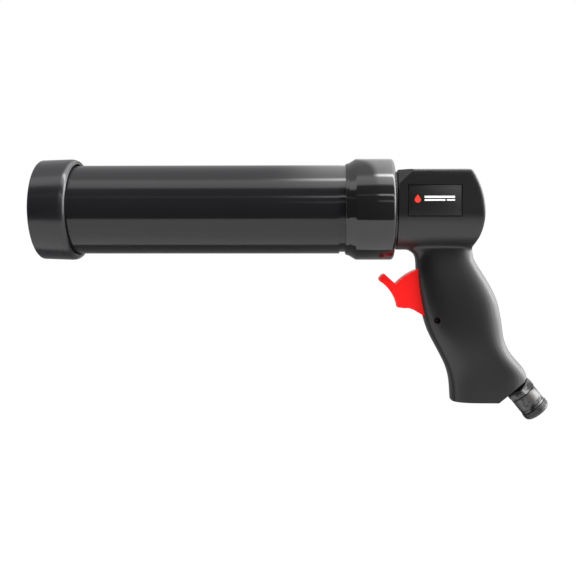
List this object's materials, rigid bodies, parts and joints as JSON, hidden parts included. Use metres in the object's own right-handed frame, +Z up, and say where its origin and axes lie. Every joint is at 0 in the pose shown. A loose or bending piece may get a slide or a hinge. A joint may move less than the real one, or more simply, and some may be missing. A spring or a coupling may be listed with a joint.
{
  "type": "pneumatic caulking gun",
  "caption": "Closed-barrel compressed-air gun for rigid sealant cartridges, with a pistol grip, trigger valve and swivel air inlet.",
  "frame": {"origin": "centre of the face in the rear of the barrel that the cartridge's base seats on, on the barrel's axis", "axes": "+X along the barrel's axis from the nose towards the handle and out of its back, +Z up, away from the grip, and -Y to the tool's left-hand side"},
  "size_m": [0.3225, 0.0644, 0.1664],
  "materials": {
    "anodised_black": "black hard-anodised, glossy, lightly brushed round the tube",
    "cap_black": "moulded glass-filled nylon, semi-gloss",
    "slip_plastic": "natural acetal, smooth",
    "cast_alloy": "die-cast alloy, turned where it seals",
    "seal_rubber": "nitrile rubber, matte",
    "housing_black": "moulded nylon, satin with a fine spark-eroded grain",
    "screw_steel": "black oxide",
    "label_film": null,
    "trigger_red": "moulded red acetal, satin gloss",
    "valve_brass": "turned brass",
    "bright_steel": "turned stainless steel",
    "sintered_bronze": "porous sintered bronze",
    "fitting_grey": "dark grey plated steel, worn at the corners",
    "ring_black": "moulded nylon with a moulded knurl"
  },
  "bodies": {
    "handle": {"left_shell": "housing_black", "right_shell": "housing_black", "shell_screw_1": "screw_steel", "shell_screw_2": "screw_steel", "shell_screw_3": "screw_steel", "shell_screw_4": "screw_steel", "shell_screw_5": "screw_steel", "shell_screw_6": "screw_steel", "left_label": "label_film", "right_label": "label_film", "head_core": "cast_alloy", "cartridge_seal": "seal_rubber", "slip_washer": "slip_plastic", "trigger_pin": "screw_steel", "valve_body": "valve_brass", "valve_plug": "valve_brass", "valve_spring": "bright_steel", "delivery_tube": "slip_plastic", "delivery_o_ring_1": "seal_rubber", "delivery_o_ring_2": "seal_rubber", "supply_tube": "slip_plastic", "supply_o_ring_1": "seal_rubber", "supply_o_ring_2": "seal_rubber", "inlet_bushing": "screw_steel", "inlet_filter": "sintered_bronze", "inlet_hex": "fitting_grey", "exhaust_silencer": "sintered_bronze"},
    "collar": {"rear_collar": "anodised_black"},
    "barrel": {"barrel": "anodised_black"},
    "thrust_ring": {"thrust_ring": "slip_plastic"},
    "front_cap": {"front_cap": "cap_black"},
    "trigger": {"trigger": "trigger_red"},
    "valve_stem": {"valve_stem": "bright_steel", "stem_o_ring_1": "seal_rubber", "stem_o_ring_2": "seal_rubber"},
    "swivel": {"swivel_sleeve": "fitting_grey", "grip_ring": "ring_black"}
  },
  "joints": [
    {"name": "collar_turn", "type": "hinge", "parent": "handle", "child": "collar", "pos_m": [0, 0, 0], "axis": [1, 0, 0], "range_deg": [0, 2160]},
    {"name": "barrel_travel", "type": "slide", "parent": "handle", "child": "barrel", "axis": [-1, 0, 0], "range_m": [0, 0.00901]},
    {"name": "cap_travel", "type": "slide", "parent": "barrel", "child": "thrust_ring", "axis": [-1, 0, 0], "range_m": [0, 0.00901]},
    {"name": "cap_turn", "type": "hinge", "parent": "thrust_ring", "child": "front_cap", "pos_m": [-0.2153, 0, 0], "axis": [-1, 0, 0], "range_deg": [0, 2160]},
    {"name": "trigger_pull", "type": "hinge", "parent": "handle", "child": "trigger", "pos_m": [0.0324, 0, -0.0697], "axis": [0, 1, 0], "range_deg": [0, 10], "stiffness_Nm_per_rad": 0.6, "springref_deg": -11.46},
    {"name": "stem_travel", "type": "slide", "parent": "handle", "child": "valve_stem", "axis": [1, 0, 0], "range_m": [0, 0.0028], "deforming": ["valve_spring"]},
    {"name": "inlet_swivel", "type": "hinge", "parent": "handle", "child": "swivel", "pos_m": [0.0835, 0, -0.1109], "axis": [0.6293, 0, -0.7771], "continuous": true}
  ],
  "couplings": [
    {"joint": "barrel_travel", "follows": "collar_turn", "m_per_rad": 0.00023873},
    {"joint": "cap_travel", "follows": "cap_turn", "m_per_rad": 0.00023873},
    {"joint": "stem_travel", "follows": "trigger_pull", "m_per_rad": 0.016}
  ]
}
